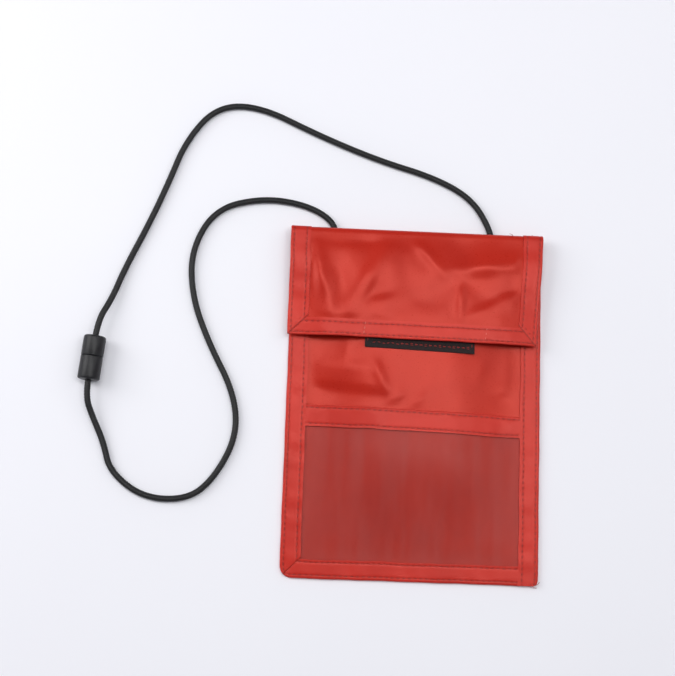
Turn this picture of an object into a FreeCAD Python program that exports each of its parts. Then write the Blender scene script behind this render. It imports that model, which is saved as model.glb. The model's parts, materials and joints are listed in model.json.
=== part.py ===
import FreeCAD, Part
import math
import os
import re
import Sketcher

doc = FreeCAD.newDocument("neck_pouch_wallet")
sheet = doc.addObject("Spreadsheet::Sheet", "sizes")

# Driving dimensions in millimetres (clasp_turn in degrees).
# X runs across the pouch, Y from its bottom edge to its top fold, Z up from the table.
dimensions = {
    # pouch body
    "pouch_width": 127,
    "pouch_length": 175,
    "cloth": 0.4,
    "tape": 0.4,
    "film": 0.3,
    "side_binding": 10,
    "bottom_binding": 9.3,
    "pocket_gap": 4.5,
    "seam_rise": 12.5,
    "mouth_drop": 30.5,
    "hem_width": 9,
    # clear window pocket
    "window_drop": 90.9,
    "window_strip": 10.6,
    "strip_slack": 0.2,
    # top fold and the raised strip of back panel in front of the cord ends
    "fold_radius": 1.8,
    "fold_clearance": 0.3,
    "shelf_depth": 14.5,
    "shelf_rise": 5,
    # flap
    "flap_length": 56,
    "flap_taper": 3.5,
    "flap_side_binding": 10,
    "flap_end_binding": 8.8,
    "flap_root_gap": 1.5,
    # touch fastener
    "loop_width": 55,
    "loop_height": 20,
    "loop_centre": 2,
    "loop_drop": 61,
    "loop_thickness": 0.8,
    "hook_width": 60,
    "hook_height": 16,
    "hook_centre": 5,
    "hook_inset": 1.5,
    "hook_thickness": 0.75,
    "touch_gap": 0.3,
    # sewing thread
    "thread": 0.1,
    "thread_width": 0.5,
    "row_inset": 1.6,
    # cord and the tabs that hold its ends
    "cord_diameter": 3,
    "tab_width": 12,
    "tab_wall": 0.7,
    "tab_length": 10,
    "tab_floor": 0.4,
    "tab_gap": 0.5,
    "tab_left": -41.5,
    "tab_right": 38.5,
    "bartack": 1.2,
    "bartack_inset": 2.2,
    "bartack_gap": 0.4,
    # breakaway clasp
    "clasp_radius": 5.5,
    "clasp_wall": 1.4,
    "socket_length": 10.25,
    "socket_bore": 4,
    "plug_length": 11.75,
    "parting_gap": 0.15,
    "prong_length": 5,
    "prong_radius": 3.7,
    "prong_bore": 3,
    "prong_bead": 0.15,
    "bead_width": 0.6,
    "bead_slope": 0.4,
    "bead_inset": 1,
    "cord_play": 0.1,
    "clasp_rounding": 1.1,
    "knot_radius": 2.8,
    "knot_half_length": 1.6,
    "clasp_x": -160.1,
    "clasp_y": 16.9,
    "clasp_turn": -5.5,
}
for row, (alias, value) in enumerate(dimensions.items(), 1):
    sheet.set(f"A{row}", alias)
    sheet.set(f"B{row}", str(value))
    sheet.setAlias(f"B{row}", alias)
doc.recompute()

# Heights of the layers, bottom to top, where they are sewn together at the edges.
panel_under = "(tape)"
panel_top = "(tape + cloth)"
flange_top = "(tape + 2 * cloth)"
stack_top = "(tape + 2 * cloth + film)"
edge_top = "(2 * tape + 2 * cloth + film)"
# Heights over the middle of the pouch, where the front stands off the back.
front_under = "(tape + cloth + pocket_gap)"
front_top = "(tape + 2 * cloth + pocket_gap)"
strip_under = f"({front_top} + strip_slack)"
film_under = f"({strip_under} + tape)"
film_top = f"({film_under} + film)"
strip_top = f"({film_top} + tape)"
loop_top = f"({front_top} + loop_thickness)"
hook_under = f"({loop_top} + touch_gap)"
flap_leg = f"({hook_under} + hook_thickness)"
flap_under = f"({flap_leg} + tape)"
flap_top = f"({flap_under} + cloth)"
flap_face = f"({flap_top} + tape)"
# The top fold is a round roll of cloth, and the shelf behind it is level with its lower side.
fold_height = f"({flap_under} - fold_clearance - fold_radius)"
shelf_under = f"({fold_height} - fold_radius)"
shelf_top = f"({shelf_under} + cloth)"
shelf_face = f"({shelf_top} + tape)"

# Places along Y and X.
top_edge = "(pouch_length / 2)"
bottom_edge = "(-pouch_length / 2)"
side_edge = "(pouch_width / 2)"
fold_line = "(pouch_length / 2 - fold_radius)"
shelf_start = "(pouch_length / 2 - shelf_depth)"
ramp_start = f"({shelf_start} - shelf_rise)"
mouth = "(pouch_length / 2 - mouth_drop)"
window_mouth = "(pouch_length / 2 - window_drop)"
sewn_side = "(pouch_width / 2 - side_binding)"
sewn_bottom = "(-pouch_length / 2 + bottom_binding)"
flat_side = f"({sewn_side} - seam_rise)"
flat_bottom = f"({sewn_bottom} + seam_rise)"
cloth_side = "(pouch_width / 2 - tape)"
cloth_bottom = "(-pouch_length / 2 + tape)"
flap_end = "(pouch_length / 2 - flap_length)"
flap_inner_end = f"({flap_end} + flap_end_binding)"
flap_root = f"({fold_line} - flap_root_gap)"
loop_low = "(pouch_length / 2 - loop_drop)"
hook_low = f"({flap_end} + hook_inset)"
tab_low = f"({shelf_start} + tab_gap)"
cord_radius = "(cord_diameter / 2)"
cord_height = "(tab_floor + cord_diameter / 2)"
cord_hole = "(cord_diameter / 2 + cord_play)"
tab_crown = "(cord_diameter / 2 + tab_wall)"


def cells(text):
    return re.sub(r"[a-z][a-z_]+", lambda word: "sizes." + word[0], text)


def new_body(label):
    body = doc.addObject("PartDesign::Body", label)
    body.Label = label
    body.AllowCompound = True
    return body


def attach(feature, body, plane, level):
    role = plane + "_Plane"
    support = [f for f in body.Origin.OriginFeatures if f.Role == role][0]
    feature.AttachmentSupport = [(support, "")]
    feature.MapMode = "FlatFace"
    feature.setExpression("AttachmentOffset.Base.z", cells(level))


def draw(body, plane, level, loops):
    # Closed outlines of straight edges, each corner held by its two dimensions from the origin.
    sketch = body.newObject("Sketcher::SketchObject", body.Label + "_sketch")
    attach(sketch, body, plane, level)
    for loop in loops:
        first = sketch.GeometryCount
        count = len(loop)
        rough = [
            FreeCAD.Vector(math.cos(2 * math.pi * i / count), math.sin(2 * math.pi * i / count), 0)
            for i in range(count)
        ]
        for i in range(count):
            sketch.addGeometry(Part.LineSegment(rough[i], rough[(i + 1) % count]))
        for i in range(count):
            following = first + (i + 1) % count
            sketch.addConstraint(Sketcher.Constraint("Coincident", first + i, 2, following, 1))
        for i, corner in enumerate(loop):
            for kind, text in zip(("DistanceX", "DistanceY"), corner):
                number = sketch.addConstraint(Sketcher.Constraint(kind, -1, 1, first + i, 1, 1.0))
                sketch.setExpression(f"Constraints[{number}]", cells(text))
    return sketch


def starting_level(plane, start, length):
    # The XZ plane faces -Y, so a shape on it is drawn at its far end and runs back to its start.
    return f"-({start} + {length})" if plane == "XZ" else start


def pad(body, plane, start, length, loops):
    sketch = draw(body, plane, starting_level(plane, start, length), loops)
    feature = body.newObject("PartDesign::Pad", body.Label + "_pad")
    feature.Profile = sketch
    feature.setExpression("Length", cells(length))
    return feature


def pocket(body, plane, start, length, loops):
    sketch = draw(body, plane, starting_level(plane, start, length), loops)
    feature = body.newObject("PartDesign::Pocket", body.Label + "_pocket")
    feature.Profile = sketch
    feature.Reversed = True
    feature.setExpression("Length", cells(length))
    return feature


def rectangle(x_low, x_high, y_low, y_high):
    return [(x_low, y_low), (x_high, y_low), (x_high, y_high), (x_low, y_high)]


def round_bar(body, kind, plane, place, start, length, radius, angle=360, turn=0):
    # kind is AdditiveCylinder or SubtractiveCylinder; turn is where its sector starts.
    bar = body.newObject("PartDesign::" + kind, body.Label + "_round")
    attach(bar, body, plane, starting_level(plane, start, length))
    bar.AttachmentOffset = FreeCAD.Placement(
        FreeCAD.Vector(), FreeCAD.Rotation(FreeCAD.Vector(0, 0, 1), turn)
    )
    bar.setExpression("AttachmentOffset.Base.x", cells(place[0]))
    bar.setExpression("AttachmentOffset.Base.y", cells(place[1]))
    bar.setExpression("Radius", cells(radius))
    bar.setExpression("Height", cells(length))
    bar.Angle = angle
    return bar


def raised_middle(body, kind, low, high, far_end):
    # A flat-topped rise: its foot lies along the sewn edges and its flat top seam_rise inside them.
    foot = [rectangle(f"-{sewn_side}", sewn_side, sewn_bottom, far_end)]
    top = [rectangle(f"-{flat_side}", flat_side, flat_bottom, far_end)]
    rise = body.newObject("PartDesign::" + kind, body.Label + "_rise")
    rise.Profile = draw(body, "XY", low, foot)
    rise.Sections = [draw(body, "XY", high, top)]
    rise.Ruled = True


def sheet_with_rise(label, far_end, edge_low, thickness, middle_low):
    # A sheet sewn down flat along both sides and the bottom, standing up in the middle and open
    # at its far end.
    body = new_body(label)
    edge_high = f"({edge_low} + {thickness})"
    middle_high = f"({middle_low} + {thickness})"
    outline = rectangle(f"-{cloth_side}", cloth_side, cloth_bottom, far_end)
    pad(body, "XY", edge_low, thickness, [outline])
    raised_middle(body, "AdditiveLoft", edge_high, middle_high, far_end)
    raised_middle(body, "SubtractiveLoft", edge_low, middle_low, f"({far_end} + 1)")
    return body


def section_over_rise(low_edge, low_middle, high_edge, high_middle):
    # Section across the pouch of a strip that follows the raised middle.
    return [
        (f"-{sewn_side}", low_edge), (f"-{flat_side}", low_middle),
        (flat_side, low_middle), (sewn_side, low_edge),
        (sewn_side, high_edge), (flat_side, high_middle),
        (f"-{flat_side}", high_middle), (f"-{sewn_side}", high_edge),
    ]


def back_panel():
    # One cloth: flat under the pocket, up to the shelf over the cord ends, and round the top fold.
    body = new_body("back_panel")
    side = [
        (cloth_bottom, panel_under), (ramp_start, panel_under), (shelf_start, shelf_under),
        (fold_line, shelf_under), (fold_line, shelf_top), (shelf_start, shelf_top),
        (ramp_start, panel_top), (cloth_bottom, panel_top),
    ]
    width = f"(2 * {cloth_side})"
    pad(body, "YZ", f"-{cloth_side}", width, [side])
    centre = (fold_line, fold_height)
    round_bar(body, "AdditiveCylinder", "YZ", centre, f"-{cloth_side}", width, "fold_radius", 180, -90)
    inside = "(fold_radius - cloth)"
    round_bar(body, "SubtractiveCylinder", "YZ", centre, f"-{cloth_side}", width, inside, 180, -90)


def pocket_mouth_hem():
    body = new_body("pocket_mouth_hem")
    section = section_over_rise(
        flange_top, front_top, f"({flange_top} + cloth)", f"({front_top} + cloth)"
    )
    pad(body, "XZ", f"({mouth} - hem_width)", "hem_width", [section])


def window_mouth_binding():
    # Tape folded over the window film's upper edge: one leg on top of it and one beneath.
    body = new_body("window_mouth_binding")
    strip_low = f"({window_mouth} - window_strip)"
    outside = [
        (f"-{sewn_side}", flange_top), (f"-{flat_side}", film_under),
        (f"-{flat_side}", strip_under), (flat_side, strip_under),
        (flat_side, film_under), (sewn_side, flange_top),
        (sewn_side, edge_top), (flat_side, strip_top),
        (f"-{flat_side}", strip_top), (f"-{sewn_side}", edge_top),
    ]
    pad(body, "XZ", strip_low, "window_strip", [outside])
    slot = section_over_rise(flange_top, film_under, stack_top, film_top)
    pocket(body, "XZ", strip_low, "(window_strip - tape)", [slot])


def side_binding(label, side):
    # Tape folded round the long edge: flat along the pocket, then up with the back panel.
    body = new_body(label)
    slope = f"(shelf_rise / ({shelf_under} - tape))"
    bend = f"({ramp_start} + ({stack_top} - {panel_top}) * {slope})"
    outside = [
        (bottom_edge, "0"), (ramp_start, "0"), (shelf_start, f"({shelf_under} - tape)"),
        (fold_line, f"({shelf_under} - tape)"), (fold_line, shelf_face),
        (shelf_start, shelf_face), (bend, edge_top), (bottom_edge, edge_top),
    ]
    layers = [
        (bottom_edge, panel_under), (ramp_start, panel_under), (shelf_start, shelf_under),
        (fold_line, shelf_under), (fold_line, shelf_top), (shelf_start, shelf_top),
        (bend, stack_top), (bottom_edge, stack_top),
    ]
    start = f"-{side_edge}" if side < 0 else sewn_side
    inner = f"-{cloth_side}" if side < 0 else sewn_side
    pad(body, "YZ", start, "side_binding", [outside])
    pocket(body, "YZ", inner, "(side_binding - tape)", [layers])
    return body


def side_binding_left():
    body = side_binding("side_binding_left", -1)
    # The lower left corner is mitred.
    corner = [
        (f"-{side_edge}", bottom_edge), (f"-{sewn_side}", bottom_edge), (f"-{sewn_side}", sewn_bottom)
    ]
    pocket(body, "XY", "0", edge_top, [corner])


def bottom_binding():
    # Mitred on the left; on the right it stops under the side strip's cut end.
    body = new_body("bottom_binding")
    length = f"({side_edge} + {sewn_side})"
    outside = rectangle(bottom_edge, sewn_bottom, "0", edge_top)
    layers = rectangle(cloth_bottom, sewn_bottom, panel_under, stack_top)
    pad(body, "YZ", f"-{side_edge}", length, [outside])
    pocket(body, "YZ", f"-{side_edge}", length, [layers])
    corner = [
        (f"-{side_edge}", bottom_edge), (f"-{sewn_side}", sewn_bottom), (f"-{side_edge}", sewn_bottom)
    ]
    pocket(body, "XY", "0", edge_top, [corner])


def patch(label, centre, width, low, height, under, thickness):
    body = new_body(label)
    left = f"({centre} - {width} / 2)"
    right = f"({centre} + {width} / 2)"
    outline = rectangle(left, right, low, f"({low} + {height})")
    pad(body, "XY", under, thickness, [outline])


# The flap's right side runs in by flap_taper from the fold to its lower end.
flap_run = f"({fold_line} - {flap_end})"


def flap_right(y, inset):
    return f"({side_edge} - {inset} - flap_taper * ({fold_line} - {y}) / {flap_run})"


def flap_outline():
    low = f"({flap_end} + tape)"
    return [
        (f"-{cloth_side}", low), (flap_right(low, "tape"), low),
        (flap_right(fold_line, "tape"), fold_line), (f"-{cloth_side}", fold_line),
    ]


def flap_panel():
    body = new_body("flap_panel")
    pad(body, "XY", flap_under, "cloth", [flap_outline()])


def flap_binding(label, outline):
    body = new_body(label)
    pad(body, "XY", flap_leg, f"({flap_face} - {flap_leg})", [outline])
    pocket(body, "XY", flap_under, "cloth", [flap_outline()])


def flap_bindings():
    inner_left = f"(-{side_edge} + flap_side_binding)"
    left_corner = (inner_left, flap_inner_end)
    right_corner = (flap_right(flap_inner_end, "flap_side_binding"), flap_inner_end)
    outer_left = (f"-{side_edge}", flap_end)
    outer_right = (flap_right(flap_end, "0"), flap_end)
    flap_binding(
        "flap_binding_left",
        [outer_left, left_corner, (inner_left, flap_root), (f"-{side_edge}", flap_root)],
    )
    flap_binding(
        "flap_binding_right",
        [
            outer_right, (flap_right(flap_root, "0"), flap_root),
            (flap_right(flap_root, "flap_side_binding"), flap_root), right_corner,
        ],
    )
    flap_binding("flap_binding_end", [outer_left, outer_right, right_corner, left_corner])


def lengthwise_row(x, low, high):
    return rectangle(f"({x} - thread_width / 2)", f"({x} + thread_width / 2)", low, high)


def crosswise_row(y, low, high):
    return rectangle(low, high, f"({y} - thread_width / 2)", f"({y} + thread_width / 2)")


def stitching(label, under, rows):
    body = new_body(label)
    pad(body, "XY", under, "thread", rows)


def edge_stitching():
    # Two rows along each side strip and two along the bottom strip between them.
    outer = f"({side_edge} - row_inset)"
    inner = f"({sewn_side} + row_inset)"
    low = f"({sewn_bottom} + row_inset)"
    rows = [lengthwise_row(x, low, ramp_start) for x in (outer, inner, f"-{outer}", f"-{inner}")]
    across = f"({sewn_side} - row_inset)"
    for y in (f"({bottom_edge} + row_inset)", f"({sewn_bottom} - row_inset)"):
        rows.append(crosswise_row(y, f"-{across}", across))
    stitching("edge_stitching", edge_top, rows)


def flap_stitching():
    low = f"({flap_inner_end} + row_inset)"
    outer = f"({side_edge} - row_inset)"
    inner = f"({side_edge} - flap_side_binding + row_inset)"
    rows = [lengthwise_row(f"-{x}", low, flap_root) for x in (outer, inner)]
    for inset in ("row_inset", "(flap_side_binding - row_inset)"):
        rows.append([
            (flap_right(low, f"({inset} + thread_width / 2)"), low),
            (flap_right(low, f"({inset} - thread_width / 2)"), low),
            (flap_right(flap_root, f"({inset} - thread_width / 2)"), flap_root),
            (flap_right(flap_root, f"({inset} + thread_width / 2)"), flap_root),
        ])
    across = f"({inner} - 2 * row_inset)"
    for y in (f"({flap_end} + row_inset)", f"({flap_inner_end} - row_inset)"):
        rows.append(crosswise_row(y, f"-{across}", f"({across} - flap_taper)"))
    stitching("flap_stitching", flap_face, rows)


def window_mouth_stitching():
    low = f"({window_mouth} - window_strip + row_inset)"
    high = f"({window_mouth} - row_inset)"
    rows = [crosswise_row(y, f"-{flat_side}", flat_side) for y in (low, high)]
    stitching("window_mouth_stitching", strip_top, rows)


def loop_patch_stitching():
    left = "(loop_centre - loop_width / 2 + row_inset)"
    right = "(loop_centre + loop_width / 2 - row_inset)"
    low = f"({loop_low} + row_inset)"
    high = f"({loop_low} + loop_height - row_inset)"
    inside = "thread_width"
    rows = [crosswise_row(y, f"({left} + {inside})", f"({right} - {inside})") for y in (low, high)]
    rows += [lengthwise_row(x, f"({low} + {inside})", f"({high} - {inside})") for x in (left, right)]
    stitching("loop_patch_stitching", loop_top, rows)


def hook_patch_stitching():
    # The ends of the hook patch are sewn through the flap's end strip, between its two rows.
    left = "(hook_centre - hook_width / 2 + thread_width)"
    right = "(hook_centre + hook_width / 2 - thread_width)"
    low = f"({flap_end} + row_inset + thread_width)"
    high = f"({flap_inner_end} - row_inset - thread_width)"
    rows = [lengthwise_row(x, low, high) for x in (left, right)]
    stitching("hook_patch_stitching", flap_face, rows)


def cord_tab(label, centre):
    # Cloth folded down round the cord's end, with two wings sewn up against the shelf.
    body = new_body(label)
    wing = f"({shelf_under} - cloth)"
    section = [
        (f"({centre} - {tab_crown})", "0"), (f"({centre} + {tab_crown})", "0"),
        (f"({centre} + {tab_crown})", wing), (f"({centre} + tab_width / 2)", wing),
        (f"({centre} + tab_width / 2)", shelf_under), (f"({centre} - tab_width / 2)", shelf_under),
        (f"({centre} - tab_width / 2)", wing), (f"({centre} - {tab_crown})", wing),
    ]
    pad(body, "XZ", tab_low, "tab_length", [section])
    hole = (centre, cord_height)
    round_bar(body, "SubtractiveCylinder", "XZ", hole, tab_low, "tab_length", cord_radius)


def tab_stitching():
    # A short bar of close stitches near each end of each wing.
    rows = []
    near = f"({tab_crown} + bartack_gap)"
    far = "(tab_width / 2 - bartack_gap)"
    for centre in ("tab_left", "tab_right"):
        for y in (f"({tab_low} + bartack_inset)", f"({tab_low} + tab_length - bartack_inset)"):
            low = f"({y} - bartack / 2)"
            high = f"({y} + bartack / 2)"
            rows.append(rectangle(f"({centre} - {far})", f"({centre} - {near})", low, high))
            rows.append(rectangle(f"({centre} + {near})", f"({centre} + {far})", low, high))
    stitching("tab_stitching", f"({shelf_under} - cloth - thread)", rows)


def size(alias):
    return float(sheet.get(alias))


def clasp_placement():
    # The clasp lies on the table with its length along its own Z, pointing to the socket end.
    lying = FreeCAD.Rotation(FreeCAD.Vector(1, 0, 0), -90)
    turned = FreeCAD.Rotation(FreeCAD.Vector(0, 0, 1), size("clasp_turn"))
    centre = FreeCAD.Vector(size("clasp_x"), size("clasp_y"), size("clasp_radius"))
    return FreeCAD.Placement(centre, turned.multiply(lying))


def turned_part(label, section, end_height):
    # A barrel turned about its own Z, with its outer end edge rounded.
    body = new_body(label)
    sketch = draw(body, "XZ", "0", [section])
    barrel = body.newObject("PartDesign::Revolution", label + "_barrel")
    barrel.Profile = sketch
    barrel.ReferenceAxis = (sketch, ["V_Axis"])
    barrel.Angle = 360
    doc.recompute()
    ends = [
        f"Edge{number}"
        for number, edge in enumerate(barrel.Shape.Edges, 1)
        if isinstance(edge.Curve, Part.Circle)
        and abs(edge.Curve.Radius - size("clasp_radius")) < 1e-6
        and abs(edge.Curve.Center.z - end_height) < 1e-6
    ]
    rounding = body.newObject("PartDesign::Fillet", label + "_rounding")
    rounding.Base = (barrel, ends)
    rounding.setExpression("Radius", cells("clasp_rounding"))
    body.Placement = clasp_placement()
    return body


def clasp_socket():
    section = [
        ("socket_bore", "0"), ("clasp_radius", "0"), ("clasp_radius", "socket_length"),
        (cord_hole, "socket_length"), (cord_hole, "(socket_length - clasp_wall)"),
        ("socket_bore", "(socket_length - clasp_wall)"),
    ]
    turned_part("clasp_socket", section, size("socket_length"))


def clasp_plug():
    # A hollow prong with a low bead that snaps in the socket.
    bead_end = "(prong_length - bead_inset)"
    section = [
        (cord_hole, "(-plug_length)"), ("clasp_radius", "(-plug_length)"),
        ("clasp_radius", "(-parting_gap)"), ("prong_radius", "(-parting_gap)"),
        ("prong_radius", f"({bead_end} - bead_width - 2 * bead_slope)"),
        ("(prong_radius + prong_bead)", f"({bead_end} - bead_width - bead_slope)"),
        ("(prong_radius + prong_bead)", f"({bead_end} - bead_slope)"), ("prong_radius", bead_end),
        ("prong_radius", "prong_length"), ("prong_bore", "prong_length"),
        ("prong_bore", "(-plug_length + clasp_wall)"), (cord_hole, "(-plug_length + clasp_wall)"),
    ]
    turned_part("clasp_plug", section, -size("plug_length"))


def cord_knot(label, height):
    body = new_body(label)
    knot = body.newObject("PartDesign::AdditiveEllipsoid", label + "_ball")
    attach(knot, body, "XY", height)
    knot.setExpression("Radius1", cells("knot_half_length"))
    knot.setExpression("Radius2", cells("knot_radius"))
    knot.setExpression("Radius3", cells("knot_radius"))
    body.Placement = clasp_placement()


def along_clasp(distance):
    return clasp_placement().multVec(FreeCAD.Vector(0, 0, distance))


def out_of_tab(tab):
    # The cord's end starts just inside its tab and comes out level, towards the top fold.
    height = size("tab_floor") + size("cord_diameter") / 2
    start = size("pouch_length") / 2 - size("shelf_depth") + 2 * size("tab_gap")
    return [FreeCAD.Vector(tab, start, height), FreeCAD.Vector(tab, start + 6.5, height)]


def upper_route():
    # From its tab to the knot in the clasp's socket half.
    floor = size("cord_diameter") / 2
    lying = [
        (36.5, 92.5), (26.5, 107.5), (7, 117.5), (-21, 125), (-52.5, 137), (-83, 151), (-105, 150),
        (-120, 131), (-128, 107.5), (-136.5, 86), (-147, 63),
    ]
    route = out_of_tab(size("tab_right"))
    route += [FreeCAD.Vector(x, y, floor) for x, y in lying]
    route += [FreeCAD.Vector(-152.5, 46.5, 3.2), along_clasp(18.5)]
    route.append(along_clasp(size("socket_length") - size("clasp_wall") - size("knot_half_length")))
    return route


def lower_route():
    # From its tab to the plug half's end wall, just short of the knot inside.
    floor = size("cord_diameter") / 2
    lying = [
        (-42.5, 91.5), (-57, 99.8), (-79, 102.5), (-103, 96), (-114.5, 74), (-112.8, 50),
        (-103.5, 27), (-89.5, 2), (-87, -19.5), (-97.5, -41), (-110, -51.5), (-131.8, -51.3),
        (-148.5, -39), (-152.3, -25),
    ]
    route = out_of_tab(size("tab_left"))
    route += [FreeCAD.Vector(x, y, floor) for x, y in lying]
    route += [FreeCAD.Vector(-158.5, -12.2, 3.2), along_clasp(-20)]
    route.append(along_clasp(size("clasp_wall") - size("plug_length") - size("cord_play")))
    return route


def cord(label, route):
    # A round cord along straight runs joined by tangent arcs, each as large as its runs allow.
    radius = size("cord_diameter") / 2
    edges = []
    radii = []
    here = route[0]
    for before, corner, after in zip(route, route[1:], route[2:]):
        inward = (corner - before).normalize()
        outward = (after - corner).normalize()
        half_turn = inward.getAngle(outward) / 2
        run = min((corner - before).Length, (after - corner).Length)
        trim = 0.45 * run
        bend = trim / math.tan(half_turn)
        radii.append(bend)
        entry = corner - inward * trim
        leave = corner + outward * trim
        to_centre = (outward - inward).normalize()
        middle = corner + to_centre * (bend / math.cos(half_turn) - bend)
        edges.append(Part.LineSegment(here, entry).toShape())
        edges.append(Part.Arc(entry, middle, leave).toShape())
        here = leave
    edges.append(Part.LineSegment(here, route[-1]).toShape())
    path = Part.Wire(edges)
    start_way = (route[1] - route[0]).normalize()
    profile = Part.Wire([Part.makeCircle(radius, route[0], start_way)])
    tube = path.makePipeShell([profile], True, False)
    expected = math.pi * radius**2 * path.Length
    print(label, "length", round(path.Length, 1), "smallest radius", round(min(radii), 1))
    print("  radii", [round(r, 1) for r in radii])
    print("  volume", round(tube.Volume, 1), "section times length", round(expected, 1))
    feature = doc.addObject("Part::Feature", label)
    feature.Label = label
    feature.Shape = tube
    feature.Placement = FreeCAD.Placement()


back_panel()
sheet_with_rise("front_panel", mouth, panel_top, "cloth", front_under)
pocket_mouth_hem()
sheet_with_rise("window_film", f"({window_mouth} - tape)", flange_top, "film", film_under)
window_mouth_binding()
side_binding_left()
side_binding("side_binding_right", 1)
bottom_binding()
patch("loop_patch", "loop_centre", "loop_width", loop_low, "loop_height", front_top, "loop_thickness")
cord_tab("cord_tab_left", "tab_left")
cord_tab("cord_tab_right", "tab_right")
tab_stitching()
edge_stitching()
window_mouth_stitching()
loop_patch_stitching()
flap_panel()
flap_bindings()
patch("hook_patch", "hook_centre", "hook_width", hook_low, "hook_height", hook_under, "hook_thickness")
flap_stitching()
hook_patch_stitching()
clasp_socket()
clasp_plug()
cord_knot("cord_knot_upper", "(socket_length - clasp_wall - knot_half_length)")
cord_knot("cord_knot_lower", "(clasp_wall - plug_length + knot_half_length)")
cord("neck_cord_upper", upper_route())
cord("neck_cord_lower", lower_route())

doc.recompute()
for item in doc.Objects:
    if "Invalid" in item.State or "Error" in item.State:
        raise RuntimeError(f"{item.Label} did not recompute: {item.State}")
subparts = [item for item in doc.Objects if item.TypeId in ("PartDesign::Body", "Part::Feature")]
for item in subparts:
    if item.Shape.isNull() or not item.Shape.isValid():
        raise RuntimeError(f"{item.Label} has no valid shape")
os.makedirs("parts", exist_ok=True)
for item in subparts:
    item.Shape.exportStep(f"parts/{item.Label}.step")
    print(item.Label, round(item.Shape.Volume, 2), len(item.Shape.Solids))
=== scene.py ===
import json
import math
import random

import bpy
import numpy as np
from mathutils import Matrix, Vector

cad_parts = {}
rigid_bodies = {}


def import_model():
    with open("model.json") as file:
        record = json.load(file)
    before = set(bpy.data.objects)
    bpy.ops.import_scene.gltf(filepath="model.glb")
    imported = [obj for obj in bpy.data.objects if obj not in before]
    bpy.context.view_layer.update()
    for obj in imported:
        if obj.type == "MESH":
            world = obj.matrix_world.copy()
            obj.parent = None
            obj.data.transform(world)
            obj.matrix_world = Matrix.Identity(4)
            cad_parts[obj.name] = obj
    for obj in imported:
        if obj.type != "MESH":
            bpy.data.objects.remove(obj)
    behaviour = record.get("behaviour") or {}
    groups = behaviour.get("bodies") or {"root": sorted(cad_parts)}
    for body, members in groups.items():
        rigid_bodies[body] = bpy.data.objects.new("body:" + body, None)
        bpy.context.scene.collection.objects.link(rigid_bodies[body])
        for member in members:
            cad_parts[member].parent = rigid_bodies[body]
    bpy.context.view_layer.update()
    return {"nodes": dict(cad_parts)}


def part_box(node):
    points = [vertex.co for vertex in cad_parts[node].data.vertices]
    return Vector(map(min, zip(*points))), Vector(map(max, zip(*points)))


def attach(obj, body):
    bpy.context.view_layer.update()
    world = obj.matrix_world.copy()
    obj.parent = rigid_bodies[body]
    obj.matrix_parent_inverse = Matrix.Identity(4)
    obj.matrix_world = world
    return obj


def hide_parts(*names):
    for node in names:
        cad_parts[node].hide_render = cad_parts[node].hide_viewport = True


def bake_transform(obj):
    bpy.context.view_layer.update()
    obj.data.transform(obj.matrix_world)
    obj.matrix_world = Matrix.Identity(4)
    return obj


for thing in list(bpy.data.objects):  # the start-up cube, lamp and camera
    bpy.data.objects.remove(thing)
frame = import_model()

mm = 0.001  # every dictionary below is in millimetres, every mesh is in metres


# Small helpers

def corners(node):
    low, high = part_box(node)
    return [v / mm for v in low], [v / mm for v in high]


def easeIn(t):
    t = np.clip(t, 0, 1)
    return t * t * (3 - 2 * t)


def deselectAll():
    if bpy.context.object and bpy.context.object.mode != "OBJECT":
        bpy.ops.object.mode_set(mode="OBJECT")
    bpy.ops.object.select_all(action="DESELECT")


def choose(piece):
    deselectAll()
    piece.select_set(True)
    bpy.context.view_layer.objects.active = piece


def readPoints(piece):
    points = np.empty(len(piece.data.vertices) * 3)
    piece.data.vertices.foreach_get("co", points)
    return points.reshape(-1, 3)


def writePoints(piece, points):
    piece.data.vertices.foreach_set("co", np.asarray(points, float).ravel())
    piece.data.update()


def meshPiece(name, points, faces):
    mesh = bpy.data.meshes.new(name)
    mesh.from_pydata([tuple(p) for p in points], [], [tuple(f) for f in faces])
    mesh.update()
    piece = bpy.data.objects.new(name, mesh)
    bpy.context.scene.collection.objects.link(piece)
    return piece


def setPoints(piece, x, y, z):
    writePoints(piece, np.stack([x, y, z], axis=1) * mm)


def editWhole(operator, **settings):
    bpy.ops.object.mode_set(mode="EDIT")
    bpy.ops.mesh.select_all(action="SELECT")
    operator(**settings)
    bpy.ops.object.mode_set(mode="OBJECT")


def faceOutwards(piece):
    choose(piece)
    editWhole(bpy.ops.mesh.normals_make_consistent, inside=False)


def takeShape(piece):
    # the points and faces of a shape that is copied many times; its own object goes
    points = readPoints(piece)
    faces = [tuple(p.vertices) for p in piece.data.polygons]
    bpy.data.objects.remove(piece)
    return points, faces


def flatGrid(name, columns, rows):
    # a grid one unit across, with each point's share of the way across and along it
    deselectAll()
    bpy.ops.mesh.primitive_grid_add(x_subdivisions=columns, y_subdivisions=rows, size=1)
    piece = bpy.context.object
    piece.name = name
    points = readPoints(piece)
    return piece, points[:, 0] + 0.5, points[:, 1] + 0.5


def nameWeave(piece, wide, long):
    # the UV map in metres, so that the weave keeps its real size
    layer = piece.data.uv_layers[0]
    layer.name = "weave"
    flat = np.empty(len(layer.uv) * 2)
    layer.uv.foreach_get("vector", flat)
    layer.uv.foreach_set("vector", (flat.reshape(-1, 2) * (wide, long)).ravel())


def applyModifier(piece, kind, **settings):
    modifier = piece.modifiers.new(kind.lower(), kind)
    for name, value in settings.items():
        setattr(modifier, name, value)
    choose(piece)
    bpy.ops.object.modifier_apply(modifier=modifier.name)


def smooth(piece, angle=50):
    choose(piece)
    bpy.ops.object.shade_smooth_by_angle(angle=math.radians(angle))


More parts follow.
